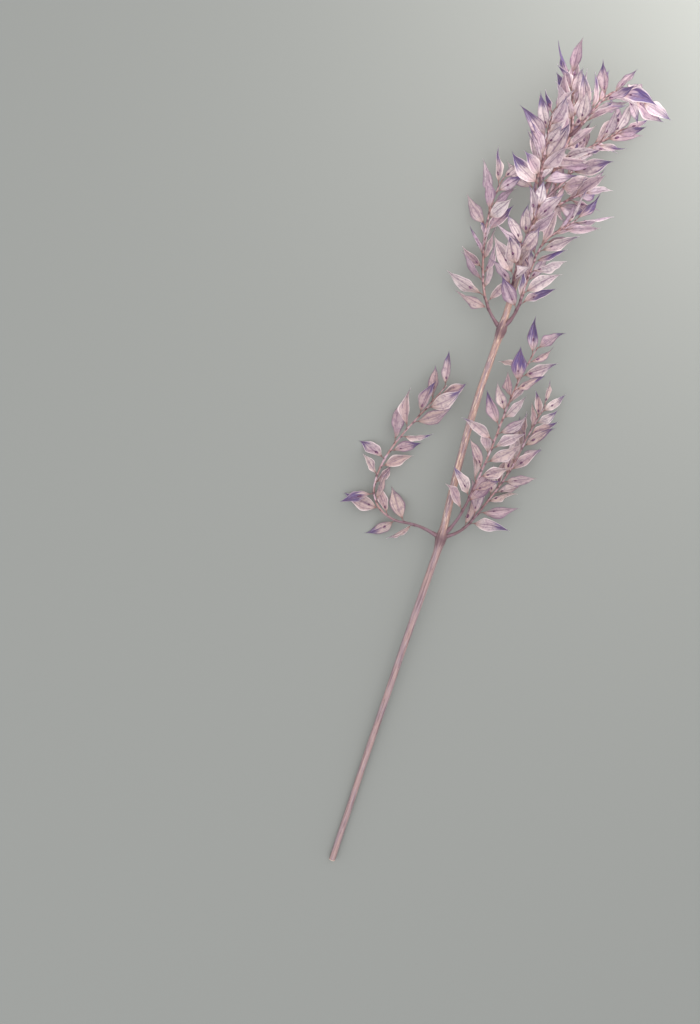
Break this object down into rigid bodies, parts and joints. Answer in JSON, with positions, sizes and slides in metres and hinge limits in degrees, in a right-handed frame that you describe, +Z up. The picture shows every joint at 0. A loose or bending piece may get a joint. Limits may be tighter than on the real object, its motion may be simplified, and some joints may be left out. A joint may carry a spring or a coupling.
{
  "type": "dried ruscus stem",
  "caption": "Dyed dried ruscus stem laid on a surface: a long bare stalk whose whorls carry leafy shoots with pointed, folded leaf blades and small buds.",
  "frame": {"origin": "on the surface that the stem lies on, under the middle of its bounding box", "axes": "+Y runs from the cut end to the leafy tip, +Z is up from the surface, +X is to the right seen from above with the tip away from the viewer"},
  "size_m": [0.1652, 0.7251, 0.0664],
  "materials": {
    "stalk": "matte",
    "foliage": "satin"
  },
  "bodies": {
    "root": {"stalk": "stalk", "shoot_1_left": "foliage", "shoot_1_inner": "foliage", "shoot_1_outer": "foliage", "shoot_2_left": "foliage", "shoot_2_right": "foliage", "shoot_2_front": "foliage", "leader": "foliage", "shoot_3_front": "foliage", "shoot_3_arching": "foliage", "shoot_3_low": "foliage", "shoot_3_under": "foliage", "shoot_4_arching": "foliage"}
  },
  "joints": []
}
